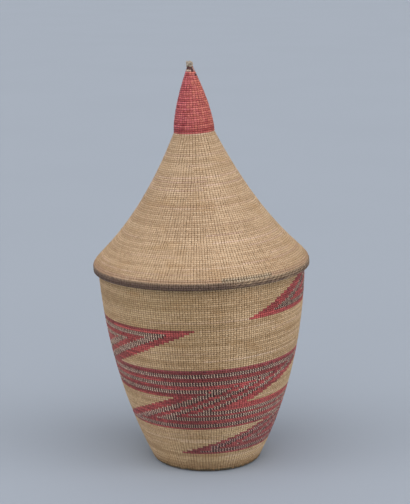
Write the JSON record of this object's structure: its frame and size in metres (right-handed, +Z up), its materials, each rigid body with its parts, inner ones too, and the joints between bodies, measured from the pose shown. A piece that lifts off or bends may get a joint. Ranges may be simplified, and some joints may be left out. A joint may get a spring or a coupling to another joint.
{
  "type": "lidded sisal basket",
  "caption": "Tapering coiled sisal basket with a tall flaring lid, stepped zigzag bands in red and grey, and a red tip.",
  "frame": {"origin": "middle of the flat underside of the base, on the surface that the basket stands on", "axes": "+Z up, from the base to the tip of the lid; -Y towards the pictured side; +X to the right of that side. The basket leans towards -X"},
  "size_m": [0.1588, 0.1586, 0.2977],
  "materials": {
    "natural_sisal": "matt plant fibre, straw coloured with olive streaks",
    "inner_sisal": "matt plant fibre, a little browner",
    "lid_sisal": "matt plant fibre, warm straw",
    "dyed_band": "matt fibre dyed dull red, crossed by pale and dark stitches",
    "red_tip": "matt fibre dyed pinkish red",
    "dark_rim": "matt fibre dyed dark grey-brown",
    "pale_fibre": "raw pale fibre"
  },
  "bodies": {
    "basket": {"base_start": "natural_sisal", "base_disc": "natural_sisal", "heel_coil": "natural_sisal", "wall_lower": "natural_sisal", "wall_band": "dyed_band", "wall_upper": "natural_sisal", "mouth_coil": "natural_sisal", "seat_collar": "inner_sisal"},
    "lid": {"lid_rim_coil_1": "dark_rim", "lid_rim_coil_2": "dark_rim", "lid_rim_coil_3": "dark_rim", "lid_flare": "lid_sisal", "lid_neck": "lid_sisal", "lid_tip": "red_tip", "tip_start": "red_tip", "tip_knot": "pale_fibre"}
  },
  "joints": [
    {"name": "lid_lift", "type": "slide", "parent": "basket", "child": "lid", "axis": [-0.0441, 0, 0.999], "range_m": [0, 0.12]}
  ]
}
